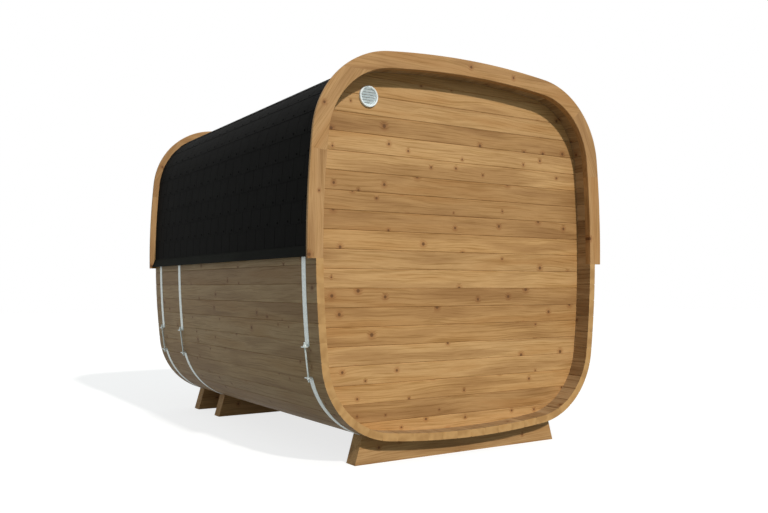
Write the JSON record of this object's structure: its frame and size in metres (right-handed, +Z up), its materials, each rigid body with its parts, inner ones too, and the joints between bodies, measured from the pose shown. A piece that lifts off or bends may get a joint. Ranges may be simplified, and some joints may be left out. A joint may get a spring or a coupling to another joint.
{
  "type": "cube sauna",
  "caption": "Outdoor sauna hut with a rounded square shell of horizontal staves on timber cradles, felt roofing, end arches, steel straps, a porch and a round wall vent.",
  "frame": {"origin": "on the ground, under the middle of the bounding box", "axes": "+Z up, +Y towards the rear end with the round vent, +X towards the side with the strap tensioners, which is on the right as seen facing the door"},
  "size_m": [2.36, 3, 2.521],
  "materials": {
    "stave_wood": "planed spruce, oiled",
    "board_wood": "planed spruce, oiled",
    "arch_wood": "planed spruce, oiled",
    "door_wood": "planed spruce, oiled",
    "cradle_wood": "planed spruce, oiled",
    "bitumen_felt": "mineral felt, matt",
    "galvanised_steel": "galvanised",
    "vent_plastic": "satin"
  },
  "bodies": {
    "root": {"floor_staves": "stave_wood", "roof_staves": "stave_wood", "side_staves_left": "stave_wood", "side_staves_right": "stave_wood", "lower_corner_left": "stave_wood", "lower_corner_right": "stave_wood", "upper_corner_left": "stave_wood", "upper_corner_right": "stave_wood", "rear_wall": "board_wood", "front_wall_left": "board_wood", "front_wall_right": "board_wood", "front_wall_over_door": "board_wood", "door_sill": "door_wood", "door_jamb_left": "door_wood", "door_jamb_right": "door_wood", "door_head": "door_wood", "door_leaf": "board_wood", "door_hinges": "galvanised_steel", "door_handle": "door_wood", "rear_arch_leg_left": "arch_wood", "rear_arch_leg_right": "arch_wood", "rear_arch_corner_left": "arch_wood", "rear_arch_corner_right": "arch_wood", "rear_arch_top": "arch_wood", "front_arch_leg_left": "arch_wood", "front_arch_leg_right": "arch_wood", "front_arch_corner_left": "arch_wood", "front_arch_corner_right": "arch_wood", "front_arch_top": "arch_wood", "roofing_left": "bitumen_felt", "roofing_right": "bitumen_felt", "roofing_top": "bitumen_felt", "eave_left": "bitumen_felt", "eave_right": "bitumen_felt", "strap_rear": "galvanised_steel", "strap_middle": "galvanised_steel", "strap_front": "galvanised_steel", "tension_rod_rear": "galvanised_steel", "tension_rod_middle": "galvanised_steel", "tension_rod_front": "galvanised_steel", "cradle_rear": "cradle_wood", "cradle_middle": "cradle_wood", "cradle_front": "cradle_wood", "vent_flange": "vent_plastic", "vent_louvres": "vent_plastic"}
  },
  "joints": []
}
